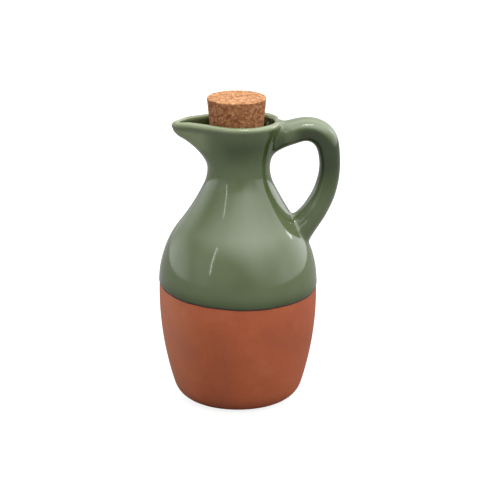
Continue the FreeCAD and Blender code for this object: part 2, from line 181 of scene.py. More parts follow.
# painted light on the neck below the lip, on the lip's side
PAINTED_LIGHT_UNDER_LIP = -0.38
LIP_SIDE = (12.0, 20.0)  # X towards the lip
UNDER_LIP_LOW, UNDER_LIP_HIGH = (138.0, 144.0), (154.0, 151.0)  # heights
# painted light on the strap's upward faces
PAINTED_LIGHT_STRAP_TOP = -0.2
STRAP_FOOT, STRAP_CREST = 22.0, 145.0  # the strap's top lies beyond this X and above this height
LEVEL_FROM_UPRIGHT = 0.7  # how far up a normal points where a face no longer counts as upright
# painted shade inside the mouth, darker deeper into the hollow
PAINTED_SHADE_MOUTH, PAINTED_SHADE_HOLLOW = 0.62, 0.38  # inside at the edge, and what the hollow adds
HOLLOW_DROP = (155.0, 150.0)  # height
CLOUD_DEPTH = 0.22  # what the cloudy patches add
# painted shadow line just below where the glaze ends, this wide
EDGE_SHADOW_WIDTH = 1.0  # of the line where the glaze ends

# Sizes of the patterns in the finishes.
GLAZE_CLOUD = 22.0  # patches where the dip ran thicker or thinner
GLAZE_RIPPLE = 4.0  # faint ripple of a fired gloss
FLAME_MARK = 30.0  # soft patches from the kiln's flame
CLAY_GRIT = 0.9  # real grit is about 0.3, drawn coarser so that it shows
# patches in the painted shadow line below the glaze
EDGE_SHADOW_PATCH = 6.0
CORK_GRAIN = 1.4
CORK_BEND, CORK_BEND_BY = 3.0, 1.2  # what makes the grains uneven

COLOUR_A, COLOUR_B = 6, 7  # sockets of a Mix node that mixes colours
WHITE = (1, 1, 1, 1)

ROOM_GLOW = 0.38
# Paler parts of the room: direction, cosine where each begins and where it is full, strength.
ROOM_PARTS = [
    ((0.05, 0, 1), 0.42, 0.93, 1.7),
    ((0.38, -0.50, 0.78), 0.7, 0.99, 0.8),
    ((1, 0.35, 0.05), 0.5, 0.97, 1.0),
    ((-1, 0.3, -0.15), 0.76, 0.98, 0.85),
    ((0, 1, 0), -0.2, 0.7, 0.42),
    ((0.6, 0.6, 0.5), 0.7, 0.98, 0.45),
    ((-0.5, -0.7, 0.4), 0.75, 0.98, 0.2),
    ((0.7, -0.5, 0.5), 0.7, 0.98, 0.42),
    ((-0.9, -0.3, 0.15), 0.8, 0.98, 0.2),
]
# Lamps: name, place and size in metres, watts. All face the middle of the jug.
LAMPS = [
    ("top_light", (0.12, -0.30, 1.15), (0.34, 0.07), 1.7),
    ("left_window", (-0.9, -0.6, 0.30), (0.5, 0.55), 0.06),
    ("right_panel", (0.9, 0.45, 0.6), (0.12, 0.3), 0.5),
    ("left_strip", (-0.64, -0.72, 0.58), (0.02, 0.6), 0.3),
]
LAMPS_AIM = (0, 0, 0.09)  # metres
FLOOR_SIZE = 6.0  # metres
FLOOR_GLOW = 0.85

CAMERA_UP = math.radians(17.12)  # above the level
CAMERA_AIM = (6.65, 0, 83.7)
CAMERA_AWAY = 1.3  # metres
CAMERA_LENS, CAMERA_SENSOR = 171.43, 36.0
CAMERA_SEES = (0.05, 20.0)  # metres


def blend(value, start, full):
    """0 up to start and 1 from full on, eased in between. Start may be the higher of the two."""
    t = np.clip((value - start) / (full - start), 0.0, 1.0)
    return t * t * (3 - 2 * t)


def hill(away, spread):
    """1 in the middle, falling off softly on both sides."""
    return np.exp(-((away / spread) ** 2))


def arc_between(start, end, curve, steps):
    """Points along the arc of that radius from start to end, without start."""
    (r0, z0), (r1, z1) = start, end
    half = math.hypot(r1 - r0, z1 - z0) / 2
    away = math.sqrt(curve**2 - half**2) * (-1 if curve > 0 else 1)
    across = ((z1 - z0) / 2 / half, -(r1 - r0) / 2 / half)
    centre = ((r0 + r1) / 2 + across[0] * away, (z0 + z1) / 2 + across[1] * away)
    first = math.atan2(z0 - centre[1], r0 - centre[0])
    turn = math.atan2(z1 - centre[1], r1 - centre[0]) - first
    turn = (turn + math.pi) % TURN - math.pi
    radius = abs(curve)
    return [
        (
            centre[0] + radius * math.cos(first + turn * k / steps),
            centre[1] + radius * math.sin(first + turn * k / steps),
        )
        for k in range(1, steps + 1)
    ]


def through(table, s):
    """The table's value at a row number that need not be whole, on a smooth curve."""
    s = np.asarray(s, float)
    last = len(table) - 1
    s = np.clip(s, 0, last)
    k = np.minimum(s.astype(int), last - 1)
    t = (s - k)[..., None]
    a = table[np.maximum(k - 1, 0)]
    b = table[k]
    c = table[k + 1]
    d = table[np.minimum(k + 2, last)]
    return 0.5 * (2 * b + (c - a) * t + (2 * a - 5 * b + 4 * c - d) * t**2 + (3 * b - a - 3 * c + d) * t**3)


def smooth_rows(stations, between):
    """Rows along a smooth curve through the stations: the first, so many between, and the last."""
    table = np.array(stations, float)
    places = np.linspace(0, len(table) - 1, between + 2)[1:-1]
    return [stations[0]] + [tuple(through(table, s)) for s in places] + [stations[-1]]


def wall_rows():
    """Rows of the wall from the foot up, over the lip and down inside: radius, height, centre, reach."""
    body = [(FOOT_RADIUS, 0.0)]
    for r, z, curve, steps in BODY_ARCS:
        body += arc_between(body[-1], (r, z), curve, steps)
    body = [p for p in body if abs(p[1] - GLAZE_ROW_HEIGHT) > GLAZE_CLEAR]
    radii, heights = np.array(body).T
    for lift, _ in GLAZE_STEPS:
        z = GLAZE_ROW_HEIGHT + lift
        body.append((float(np.interp(z, heights, radii)), z))
    body.sort(key=lambda p: p[1])
    rows = [(r, 0.0, 0.0, r) for r in FOOT_RINGS]
    for r, z in body[:-1]:
        # The neck was thrown a little off the foot's centre, towards the handle.
        shift = NECK_SHIFT * float(blend(z, SHIFT_FROM, SHIFT_TO))
        swell = NECK_SWELL * float(blend(z, SWELL_FROM, SWELL_TO))
        rows.append((r + swell, z, shift, r + swell - shift))
    rows += smooth_rows(MOUTH_OUTSIDE, MOUTH_ROWS_OUTSIDE)
    for degrees in LIP_ROLL_TURN:
        out = LIP_ROLL * math.cos(math.radians(degrees))
        up = LIP_ROLL * math.sin(math.radians(degrees))
        rows.append((LIP_ROUND + out, LIP_HEIGHT + up, LIP_CENTRE, LIP_REACH + out))
    rows += smooth_rows(MOUTH_INSIDE, MOUTH_ROWS_INSIDE)
    for z in np.linspace(INSIDE_TOP, INSIDE_BOTTOM, INSIDE_ROWS):
        r = float(np.interp(z, heights, radii)) - CLAY
        rows.append((r, float(z), 0.0, r))
    rows += [(r, z, 0.0, r) for r, z in FLOOR_RINGS]
    return np.array(rows)


ROWS = wall_rows()
MOUTH_ROW = int(np.flatnonzero(ROWS[:, 1] == MOUTH_OUTSIDE[0][1])[0])
GLAZE_ROW = int(np.argmin(np.abs(ROWS[:MOUTH_ROW, 1] - GLAZE_ROW_HEIGHT)))
LIP_ROW = int(np.argmax(ROWS[:, 1]))


def pulled_outline(angle, radius, reach):
    """Distance of the pulled lip's outline from the round's centre, at an angle from the lip's middle.

    A small round at the nose and straight flanks run out to the big round, which starts at sixty
    degrees on each side.
    """
    angle = np.abs(angle)
    tip = np.clip(2 * radius - reach, 0.5, radius)
    apart = 2 * (radius - tip)
    sixty = math.radians(60)
    start = np.arctan2(tip * math.sin(sixty), apart + tip * 0.5)
    flank = radius / np.cos(np.clip(sixty - angle, 0, sixty))
    inside = np.clip(tip**2 - (apart * np.sin(angle)) ** 2, 0, None)
    nose = apart * np.cos(angle) + np.sqrt(inside)
    return np.where(angle < start, nose, np.where(angle < sixty, flank, radius))


def soft_outline(angle, radius, reach):
    """The outline with its changes of curve softened, and its nose still as far out as told."""
    def softened(middle):
        parts = [w * pulled_outline(middle + math.radians(d), radius, reach) for d, w in SOFTENING]
        return sum(parts) / sum(w for _, w in SOFTENING)
    lost = reach - softened(0 * angle)
    return softened(angle) + lost * hill(angle, NOSE_KEPT)


def surface(angle, row):
    """Points of the wall: angle from +X about the axis, row number along ROWS."""
    radius, height, centre, reach = np.moveaxis(through(ROWS, row), -1, 0)
    from_lip = (angle - SPOUT + math.pi) % TURN - math.pi
    gather = NOSE_GATHER * blend(height, GATHER_LOW, GATHER_HIGH)
    from_lip = from_lip * (1 - gather * hill(from_lip, NOSE_SPREAD))
    distance = soft_outline(from_lip, radius, reach + centre)
    x = centre - distance * np.cos(from_lip)
    y = -distance * np.sin(from_lip)
    droop = LIP_DROOP * blend(-x, DROOP_FROM, DROOP_TO) * blend(height, DROOP_LOW, DROOP_HIGH)
    return np.stack([x, y, height - droop], -1)


def glaze_coat(row):
    """Thickness of the glaze, which ends in a low bead at the dip line and thins out higher up."""
    lift = through(ROWS, row)[..., 1] - GLAZE_ROW_HEIGHT
    coat = np.interp(lift, *zip(*GLAZE_STEPS))
    return coat * (1 - COAT_THINS_BY * blend(lift, COAT_THINS_FROM, COAT_THINS_TO)) * (row < MOUTH_ROW)


def dip_rise(angle):
    """How far the glaze line stands above its middle height, with the small waver of a hand dip."""
    lean = DIP_LEAN[0] * np.cos(angle) + DIP_LEAN[1] * np.sin(angle)
    return lean + sum(high * np.sin(waves * angle + phase) for waves, phase, high in DIP_WAVER)


def side_length(row_from, row_to):
    """Length along the wall at the handle's side, from one row to another."""
    rows = np.linspace(row_from, row_to, 60)
    path = surface(np.zeros(60), rows)
    return float(np.linalg.norm(np.diff(path, axis=0), axis=1).sum())


class Joint:
    """An oval opening in the wall where the strap grows out, and how the wall's grid bends round it."""

    def __init__(self, height, half, up, down, narrow, cells, reach, weld, eased):
        self.middle = int(np.argmin(np.abs(ROWS[:LIP_ROW, 1] - height)))
        self.half = half
        self.up = up
        self.down = down
        self.narrow = narrow
        self.cells = cells
        self.reach = reach
        self.weld = weld
        self.eased = eased
        self.radius = float(ROWS[self.middle, 0] + ROWS[self.middle, 2])
        self.rows = np.arange(self.middle - JOINT_ROWS, self.middle + JOINT_ROWS + 1)
        self.lengths = np.array([
            math.copysign(side_length(self.middle, r), r - self.middle) if r != self.middle else 0.0
            for r in self.rows
        ])

    def turn(self, x, y):
        """Angle round the opening for a place on the unit square, even along its corners."""
        a, b = self.cells
        quarter = (a + b) / 2
        size = np.maximum(np.maximum(abs(x), abs(y)), 1e-9)
        u, v = abs(x) / size, abs(y) / size
        along = np.where(u >= v, v * b / 2, b / 2 + (1 - u) * a / 2)
        first = along / quarter * (math.pi / 2)
        right, left = np.where(y >= 0, first, -first), np.where(y >= 0, math.pi - first, first - math.pi)
        return np.where(x >= 0, right, left)

    def oval(self, way, scale=1.0):
        """Place on the wall, across and up, on the opening's oval or one of another size."""
        tall = np.where(np.sin(way) > 0, self.up, self.down)
        wide = self.half * (1 - self.narrow * np.maximum(np.sin(way), 0))
        return wide * np.cos(way) * scale, tall * np.sin(way) * scale

    def square(self, column, row):
        """Place on the square of cells that the opening takes out, whose edges are at 1."""
        return column / (self.cells[0] / 2), (row - self.middle) / (self.cells[1] / 2)

    def bend(self, angle, row, placed):
        """Moves grid places near the opening so that its edge is an oval."""
        across = angle * self.radius
        up = np.interp(placed, self.rows, self.lengths)
        x, y = self.square(angle / (TURN / COLUMNS), row)
        far = np.maximum(abs(x), abs(y))
        oval = self.oval(self.turn(x, y), np.maximum(far, NEAREST_CELL))
        keep = blend(far, self.reach, 1.0)
        across = across + (oval[0] - across) * keep
        up = up + (oval[1] - up) * keep
        return across / self.radius, np.interp(up, self.lengths, self.rows)

    def edge(self, scale=1.0):
        """The opening's corners in order, from +Y round over the top."""
        across, up = self.oval(np.arange(LOOP) * TURN / LOOP, scale)
        return surface(across / self.radius, np.interp(up, self.lengths, self.rows))


JOINTS = {"upper": Joint(**UPPER_JOINT), "lower": Joint(**LOWER_JOINT)}


def choose(piece):
    """Makes one object the only selected and active one."""
    bpy.ops.object.select_all(action="DESELECT")
    piece.select_set(True)
    bpy.context.view_layer.objects.active = piece


def positions(piece):
    """The piece's vertices in metres."""
    co = np.empty(len(piece.data.vertices) * 3)
    piece.data.vertices.foreach_get("co", co)
    return co.reshape(-1, 3)


def put(piece, points):
    """Moves the piece's vertices to places in metres."""
    piece.data.vertices.foreach_set("co", np.asarray(points, float).ravel())
    piece.data.update()


def outward(piece):
    """The way each vertex of the piece faces."""
    normals = np.empty(len(piece.data.vertices) * 3)
    piece.data.vertices.foreach_get("normal", normals)
    return normals.reshape(-1, 3)


def store(piece, name, values):
    """Keeps a value for each vertex, for a finish to read."""
    attribute = piece.data.attributes.new(name, "FLOAT", "POINT")
    attribute.data.foreach_set("value", values.astype(np.float32))


def select_vertices(piece, flags):
    """Selects the flagged vertices and what lies wholly between them, from object mode."""
    mesh = piece.data
    extra = len(mesh.vertices) - len(flags)
    flags = np.append(np.asarray(flags, bool), np.zeros(extra, bool))
    mesh.vertices.foreach_set("select", flags)
    ends = np.empty(len(mesh.edges) * 2, int)
    mesh.edges.foreach_get("vertices", ends)
    mesh.edges.foreach_set("select", flags[ends.reshape(-1, 2)].all(1))
    faces = [all(flags[v] for v in p.vertices) for p in mesh.polygons]
    mesh.polygons.foreach_set("select", faces)


def draw_profile(name, points):
    """A line of vertices in the XZ plane, drawn on from point to point."""
    bpy.ops.object.select_all(action="DESELECT")
    bpy.ops.mesh.primitive_plane_add(size=MM)
    line = bpy.context.object
    line.name = name
    bpy.ops.object.mode_set(mode="EDIT")
    bpy.ops.mesh.select_mode(type="VERT")
    bpy.ops.mesh.select_all(action="SELECT")
    bpy.ops.mesh.merge(type="CENTER")
    here = Vector((0, 0, 0))
    for r, z in points:
        there = Vector((r * MM, 0, z * MM))
        if here.length == 0:
            bpy.ops.transform.translate(value=there)
        else:
            bpy.ops.mesh.extrude_region_move(TRANSFORM_OT_translate={"value": there - here})
        here = there
    bpy.ops.object.mode_set(mode="OBJECT")
    return line


def throw(line):
    """Turns a profile into a closed wall, as on a wheel."""
    choose(line)
    bpy.ops.object.mode_set(mode="EDIT")
    bpy.ops.mesh.select_all(action="SELECT")
    bpy.ops.mesh.spin(steps=COLUMNS, angle=TURN, center=(0, 0, 0), axis=(0, 0, 1))
    bpy.ops.mesh.select_all(action="SELECT")
    bpy.ops.mesh.remove_doubles(threshold=SPUN_NEAR * MM)
    bpy.ops.object.mode_set(mode="OBJECT")


def throw_jug():
    """The thrown wall, its lip pulled, its coat of glaze on and the two openings for the strap cut."""
    # Each row is drawn at a height of its own, so that it can be told again after the spin.
    jug = draw_profile("jug_body", [(30.0, 1.0 + k) for k in range(len(ROWS))])
    throw(jug)
    drawn = positions(jug) / MM
    row = np.rint(drawn[:, 2] - 1.0)
    column = np.rint(np.arctan2(drawn[:, 1], drawn[:, 0]) / (TURN / COLUMNS))
    angle = column * TURN / COLUMNS
    from_dip = abs(row - GLAZE_ROW)
    heights = ROWS[:MOUTH_ROW, 1]
    numbers = np.arange(MOUTH_ROW)
    wanted = np.interp(row, numbers, heights) + dip_rise(angle) * blend(from_dip, DIP_ROWS, 0)
    placed = np.where(from_dip <= DIP_ROWS, np.interp(wanted, heights, numbers), row)
    bent_angle, bent_row = angle.copy(), placed.copy()
    for joint in JOINTS.values():
        near = abs(angle) < JOINT_SIDE
        near &= abs(row - joint.middle) <= joint.cells[1] / 2 * joint.reach
        bent_angle[near], bent_row[near] = joint.bend(angle[near], row[near], placed[near])
    points = surface(bent_angle, bent_row)
    radial = points[:, :2] / np.maximum(np.linalg.norm(points[:, :2], axis=1), 1e-6)[:, None]
    points[:, :2] += radial * glaze_coat(row)[:, None]
    put(jug, points * MM)
    store(jug, "inner", blend(row, LIP_ROW + 2, LIP_ROW + 8))
    close_floor(jug, row)
    cut_openings(jug, row, column)
    return jug


def close_floor(jug, row):
    """Fills the small ring left open at the middle of the foot and of the floor inside."""
    for end in (0, len(ROWS) - 1):
        choose(jug)
        select_vertices(jug, row == end)
        bpy.ops.object.mode_set(mode="EDIT")
        bpy.ops.mesh.select_mode(type="EDGE")
        bpy.ops.mesh.edge_face_add()
        bpy.ops.mesh.poke()
        bpy.ops.object.mode_set(mode="OBJECT")


def cut_openings(jug, row, column):
    """Deletes the wall's faces inside each joint's oval."""
    inside = np.zeros(len(row), bool)
    for joint in JOINTS.values():
        x, y = joint.square(column, row)
        inside |= np.maximum(abs(x), abs(y)) < 0.999
    choose(jug)
    select_vertices(jug, inside)
    bpy.ops.object.mode_set(mode="EDIT")
    bpy.ops.mesh.select_mode(type="VERT")
    bpy.ops.mesh.delete(type="VERT")
    bpy.ops.object.mode_set(mode="OBJECT")


def strap_ring(centre, ahead, thickness, width):
    """One oval section of the strap, a little squarer than an ellipse, square to its spine."""
    way = np.arange(LOOP) * TURN / LOOP
    up = np.array([-ahead[2], 0.0, ahead[0]])
    power = 2 / STRAP_SQUARENESS
    y = np.sign(np.cos(way)) * abs(np.cos(way)) ** power * width / 2
    z = np.sign(np.sin(way)) * abs(np.sin(way)) ** power * thickness / 2
    return centre + np.outer(y, (0, 1, 0)) + np.outer(z, up)


def blend_rings(start, start_way, end, end_way, steps, leave, arrive):
    """Rings between two loops that leave each one along its own surface, as strongly as told."""
    gap = np.linalg.norm(end - start, axis=1)[:, None]
    start_way = start_way / np.linalg.norm(start_way, axis=1)[:, None] * gap * leave
    end_way = end_way / np.linalg.norm(end_way, axis=1)[:, None] * gap * arrive
    rings = []
    for k in range(1, steps):
        t = k / steps
        rings.append(
            start * (2 * t**3 - 3 * t**2 + 1)
            + start_way * (t**3 - 2 * t**2 + t)
            + end * (3 * t**2 - 2 * t**3)
            + end_way * (t**3 - t**2)
        )
    return rings


def strap_rings():
    """All rings of the strap in order, from the neck's opening to the belly's."""
    spine = np.array(STRAP, float)
    where = np.linspace(0, len(spine) - 1, STRAP_RINGS)
    ways = through(spine, where + SPINE_STEP) - through(spine, where - SPINE_STEP)
    free = []
    for (x, z, thickness, width), way in zip(through(spine, where), ways):
        ahead = np.array([way[0], 0.0, way[1]])
        ahead /= np.linalg.norm(ahead)
        free.append(strap_ring(np.array([x, 0.0, z]), ahead, thickness, width))
    upper, upper_in = JOINTS["upper"].edge(), JOINTS["upper"].edge(INNER_STEP)
    # The strap meets the belly from above, so its sections run the other way round there.
    mirrored = (-np.arange(LOOP)) % LOOP
    lower, lower_in = JOINTS["lower"].edge()[mirrored], JOINTS["lower"].edge(INNER_STEP)[mirrored]
    outside = np.sin(np.arange(LOOP) * TURN / LOOP) > 0
    to_belly = np.where(outside, TO_BELLY_TIGHT, TO_BELLY_ROUND)[:, None]
    first = blend_rings(upper, upper_in - upper, free[0], free[1] - free[0], UPPER_STEPS, FROM_NECK, TO_STRAP)
    last = blend_rings(
        free[-1], free[-1] - free[-2], lower, lower - lower_in, LOWER_STEPS, FROM_STRAP, to_belly
    )
    return [upper] + first + free + last + [lower]


def pull_strap():
    """The strap, drawn out ring by ring like a pulled handle."""
    rings = strap_rings()
    bpy.ops.object.select_all(action="DESELECT")
    bpy.ops.mesh.primitive_circle_add(vertices=LOOP, radius=8 * MM)
    strap = bpy.context.object
    strap.name = "strap"
    choose(strap)
    start = positions(strap)
    order = np.argsort(np.arctan2(start[:, 1], start[:, 0]) % TURN)
    points = np.empty((LOOP, 3))
    points[order] = rings[0] * MM
    put(strap, points)
    place = np.empty(LOOP, int)
    place[order] = np.arange(LOOP)
    for ring in rings[1:]:
        made = len(strap.data.vertices)
        bpy.ops.object.mode_set(mode="EDIT")
        bpy.ops.mesh.select_mode(type="EDGE")
        bpy.ops.mesh.extrude_edges_move(TRANSFORM_OT_translate={"value": (0, 0, 0)})
        bpy.ops.object.mode_set(mode="OBJECT")
        co = positions(strap)
        old, new = co[made - LOOP:made], co[made:]
        nearest = np.argmin(((new[:, None] - old[None]) ** 2).sum(2), 1)
        place = place[nearest]
        co[made:] = ring[place] * MM
        put(strap, co)
    return strap


def join_strap(jug, strap):
    """Welds the strap's two ends into the wall and eases the welds."""
    bpy.ops.object.select_all(action="DESELECT")
    strap.select_set(True)
    jug.select_set(True)
    bpy.context.view_layer.objects.active = jug
    bpy.ops.object.join()
    bpy.ops.object.mode_set(mode="EDIT")
    bpy.ops.mesh.select_all(action="SELECT")
    bpy.ops.mesh.remove_doubles(threshold=WELD_NEAR * MM)
    bpy.ops.mesh.normals_make_consistent(inside=False)
    bpy.ops.object.mode_set(mode="OBJECT")
    co = positions(jug) / MM
    for joint in JOINTS.values():
        edge = joint.edge()
        gap = np.sqrt(((co[:, None] - edge[None]) ** 2).sum(2).min(1))
        select_vertices(jug, gap < joint.weld)
        bpy.ops.object.mode_set(mode="EDIT")
        bpy.ops.mesh.vertices_smooth(factor=0.5, repeat=joint.eased)
        bpy.ops.object.mode_set(mode="OBJECT")


def hue(code):
    """A colour written as sRGB hex, in linear light."""
    parts = [int(code[k:k + 2], 16) / 255 for k in (0, 2, 4)]
    return [p / 12.92 if p <= 0.04045 else ((p + 0.055) / 1.055) ** 2.4 for p in parts] + [1.0]


def add_node(tree, kind, settings=None, links=None):
    """Adds a node, sets its fields, sockets and colour stops, and links its sockets."""
    node = tree.nodes.new(kind)
    for key, value in (settings or {}).items():
        if key == "stops":
            elements = node.color_ramp.elements
            while len(elements) < len(value):
                elements.new(0.5)
            for element, (place, code) in zip(elements, value):
                element.position = place
                element.color = hue(code)
        elif isinstance(key, int) or key in node.inputs:
            node.inputs[key].default_value = value
        else:
            setattr(node, key, value)
    for key, source in (links or {}).items():
        tree.links.new(source, node.inputs[key])
    return node


def new_material(name):
    """An empty material and its nodes."""
    material = bpy.data.materials.new(name)
    material.use_nodes = True
    material.node_tree.nodes.clear()
    return material, material.node_tree


def sage_glaze():
    """Glossy dipped glaze, fired: it runs thin and pale on edges and lies thicker above the dip line, and its
    colour also carries painted shade and painted light.
    """
    material, tree = new_material("sage_glaze_dipped")
    place = add_node(tree, "ShaderNodeTexCoord").outputs["Object"]
    cloud = add_node(tree, "ShaderNodeTexNoise", {
        "Scale": 1 / (GLAZE_CLOUD * MM), "Detail": 3.0, "Roughness": 0.5,
    }, {"Vector": place}).outputs["Fac"]
    # the glaze's thickness together with painted shade and painted light, stored on the jug
    pool_and_painted_light = add_node(tree, "ShaderNodeAttribute", {"attribute_name": "glaze_pool"})
    depth_and_painted_light = add_node(tree, "ShaderNodeMath", {"operation": "MULTIPLY_ADD", 1: CLOUD_DEPTH},
                     {0: cloud, 2: pool_and_painted_light.outputs["Fac"]})
    colour = add_node(tree, "ShaderNodeValToRGB", {"stops": [
        (0.0, "838D66"), (0.35, "606C4B"), (0.6, "4F5C3A"), (0.85, "384820"), (1.0, "1C280D"),
    ]}, {"Fac": depth_and_painted_light.outputs[0]})
    ripple = add_node(tree, "ShaderNodeTexNoise", {"Scale": 1 / (GLAZE_RIPPLE * MM), "Detail": 2.0},
                      {"Vector": place})
    bump = add_node(tree, "ShaderNodeBump", {"Strength": 0.035, "Distance": 0.4 * MM},
                    {"Height": ripple.outputs["Fac"]})
    rough = add_node(tree, "ShaderNodeMapRange", {"To Min": 0.06, "To Max": 0.14}, {"Value": cloud})
    shader = add_node(tree, "ShaderNodeBsdfPrincipled", {"IOR": 1.72}, {
        "Base Color": colour.outputs["Color"], "Roughness": rough.outputs[0], "Normal": bump.outputs[0],
    })
    add_node(tree, "ShaderNodeOutputMaterial", links={"Surface": shader.outputs[0]})
    return material


def bare_terracotta():
    """Red earthenware fired without glaze: matt and dry, with faint flame marks and fine grit.

    The side away from the handle is painted paler, as light falls on it from that side.
    """
    material, tree = new_material("terracotta_bare_fired")
    place = add_node(tree, "ShaderNodeTexCoord").outputs["Object"]
    marks = add_node(tree, "ShaderNodeTexNoise", {
        "Scale": 1 / (FLAME_MARK * MM), "Detail": 4.0, "Roughness": 0.6,
    }, {"Vector": place})
    colour = add_node(tree, "ShaderNodeValToRGB", {"stops": [
        (0.3, "934A2F"), (0.45, "9D4F2F"), (0.6, "A65431"), (0.75, "A95E3E"),
    ]}, {"Fac": marks.outputs["Fac"]})
    sides = add_node(tree, "ShaderNodeSeparateXYZ", links={"Vector": place})
    # painted light: paler towards -X, the side away from the handle
    painted_side_light = add_node(tree, "ShaderNodeMapRange", {
        "interpolation_type": "SMOOTHSTEP",
        "From Min": -14 * MM, "From Max": -44 * MM, "To Min": 0.0, "To Max": 0.45,
    }, {"Value": sides.outputs["X"]})
    paler = add_node(tree, "ShaderNodeMix", {"data_type": "RGBA", COLOUR_B: hue("CC8668")},
                     {0: painted_side_light.outputs[0], COLOUR_A: colour.outputs["Color"]})
    grit = add_node(tree, "ShaderNodeTexNoise", {
        "Scale": 1 / (CLAY_GRIT * MM), "Detail": 3.0, "Roughness": 0.7,
    }, {"Vector": place}).outputs["Fac"]
    speck = add_node(tree, "ShaderNodeMapRange", {
        "From Min": 0.3, "From Max": 0.7, "To Min": 0.93, "To Max": 1.05,
    }, {"Value": grit})
    shaded = add_node(tree, "ShaderNodeVectorMath", {"operation": "SCALE"},
                      {0: paler.outputs[2], "Scale": speck.outputs[0]})
    bump = add_node(tree, "ShaderNodeBump", {"Strength": 0.12, "Distance": 0.3 * MM}, {"Height": grit})
    shader = add_node(tree, "ShaderNodeBsdfPrincipled", {"Roughness": 0.78, "IOR": 1.45},
                      {"Base Color": shaded.outputs[0], "Normal": bump.outputs[0]})
    add_node(tree, "ShaderNodeOutputMaterial", links={"Surface": shader.outputs[0]})
    return material


def glaze_edge_shadow_line():
    """Painted shadow below the end of the glaze's coat: a thin, matt, dark brown line."""
    material, tree = new_material("glaze_edge_painted_shadow")
    place = add_node(tree, "ShaderNodeTexCoord").outputs["Object"]
    cloud = add_node(tree, "ShaderNodeTexNoise", {"Scale": 1 / (EDGE_SHADOW_PATCH * MM), "Detail": 2.0},
                     {"Vector": place})
    colour = add_node(tree, "ShaderNodeValToRGB", {"stops": [(0.3, "26180C"), (0.7, "452A16")]},
                      {"Fac": cloud.outputs["Fac"]})
    shader = add_node(tree, "ShaderNodeBsdfPrincipled", {"Roughness": 0.75},
                      {"Base Color": colour.outputs["Color"]})
    add_node(tree, "ShaderNodeOutputMaterial", links={"Surface": shader.outputs[0]})
    return material


def pressed_cork():
    """Granulated cork pressed and turned: grains of 1 to 3 mm in browns, with dark pits between."""
    material, tree = new_material("cork_pressed_granules")
    place = add_node(tree, "ShaderNodeTexCoord").outputs["Object"]
    bend = add_node(tree, "ShaderNodeTexNoise", {"Scale": 1 / (CORK_BEND * MM), "Detail": 2.0},
                    {"Vector": place})
    moved = add_node(tree, "ShaderNodeVectorMath", {"operation": "MULTIPLY_ADD", 1: (CORK_BEND_BY * MM,) * 3},
                     {0: bend.outputs["Color"], 2: place}).outputs[0]
    grains = add_node(tree, "ShaderNodeTexVoronoi", {"Scale": 1 / (CORK_GRAIN * MM)}, {"Vector": moved})
    edges = add_node(tree, "ShaderNodeTexVoronoi", {
        "feature": "DISTANCE_TO_EDGE", "Scale": 1 / (CORK_GRAIN * MM),
    }, {"Vector": moved}).outputs["Distance"]
    tone = add_node(tree, "ShaderNodeSeparateColor", links={"Color": grains.outputs["Color"]})
    colour = add_node(tree, "ShaderNodeValToRGB", {"stops": [
        (0.0, "8C5935"), (0.25, "A57045"), (0.55, "B68155"), (0.8, "C08D60"), (1.0, "CB9D74"),
    ]}, {"Fac": tone.outputs[0]})
    seam = add_node(tree, "ShaderNodeValToRGB", {"stops": [(0.0, "7A4A2C"), (0.09, "FFFFFF")]},
                    {"Fac": edges})
    joined = add_node(tree, "ShaderNodeMix", {"data_type": "RGBA", "blend_type": "MULTIPLY", 0: 0.55},
                      {COLOUR_A: colour.outputs["Color"], COLOUR_B: seam.outputs["Color"]})
    pits = add_node(tree, "ShaderNodeAttribute", {"attribute_name": "pit"})
    dark = add_node(tree, "ShaderNodeMix", {"data_type": "RGBA", COLOUR_B: hue("662A0C")},
                    {0: pits.outputs["Fac"], COLOUR_A: joined.outputs[2]})
    bump = add_node(tree, "ShaderNodeBump", {"Strength": 0.35, "Distance": 0.3 * MM}, {"Height": edges})
    shader = add_node(tree, "ShaderNodeBsdfPrincipled", {"Roughness": 0.85, "IOR": 1.4},
                      {"Base Color": dark.outputs[2], "Normal": bump.outputs[0]})
    add_node(tree, "ShaderNodeOutputMaterial", links={"Surface": shader.outputs[0]})
    return material


def glaze_depth_and_painted_light(co, normals, above, inner):
    """How thick the glaze lies at each vertex, thicker above the dip line and thin off the lip's edge, plus
    painted shade under the rim, on the strap's upright sides and inside the mouth, and painted light under
    the lip's side and on the strap's top.
    """
    x, y, z = co.T
    upright = 1 - blend(normals[:, 2], 0.0, LEVEL_FROM_UPRIGHT)
    neck = (np.hypot(x, y) < NECK_RADIUS) * blend(x, *UNDER_RIM_SIDE)
    rim_height, rim_spread = UNDER_RIM_BAND
    lip_height, lip_spread = LIP_EDGE_BAND
    # painted shade on the neck under the rim, away from the lip's side
    depth_and_painted_light = DEPTH_PLAIN + PAINTED_SHADE_UNDER_RIM * hill(z - rim_height, rim_spread) * neck
    # painted shade on the strap's upright and downward faces
    depth_and_painted_light += PAINTED_SHADE_STRAP_SIDES * blend(x, *STRAP_SIDE) * blend(z, *STRAP_RISE) * upright
    depth_and_painted_light += DEPTH_ABOVE_DIP * hill(np.clip(above, 0, None), ABOVE_DIP_SPREAD)
    depth_and_painted_light += DEPTH_LIP_EDGE * hill(z - lip_height, lip_spread) * (x < STRAP_FOOT)
    # painted light on the neck under the lip's side
    depth_and_painted_light += PAINTED_LIGHT_UNDER_LIP * blend(-x, *LIP_SIDE) * blend(z, *UNDER_LIP_LOW) * blend(z, *UNDER_LIP_HIGH)
    # painted light on the top of the strap
    depth_and_painted_light += PAINTED_LIGHT_STRAP_TOP * (1 - upright) * (x > STRAP_FOOT) * (z > STRAP_CREST)
    # painted shade inside the mouth, darker further down
    return depth_and_painted_light * (1 - inner) + inner * (PAINTED_SHADE_MOUTH + PAINTED_SHADE_HOLLOW * blend(z, *HOLLOW_DROP))


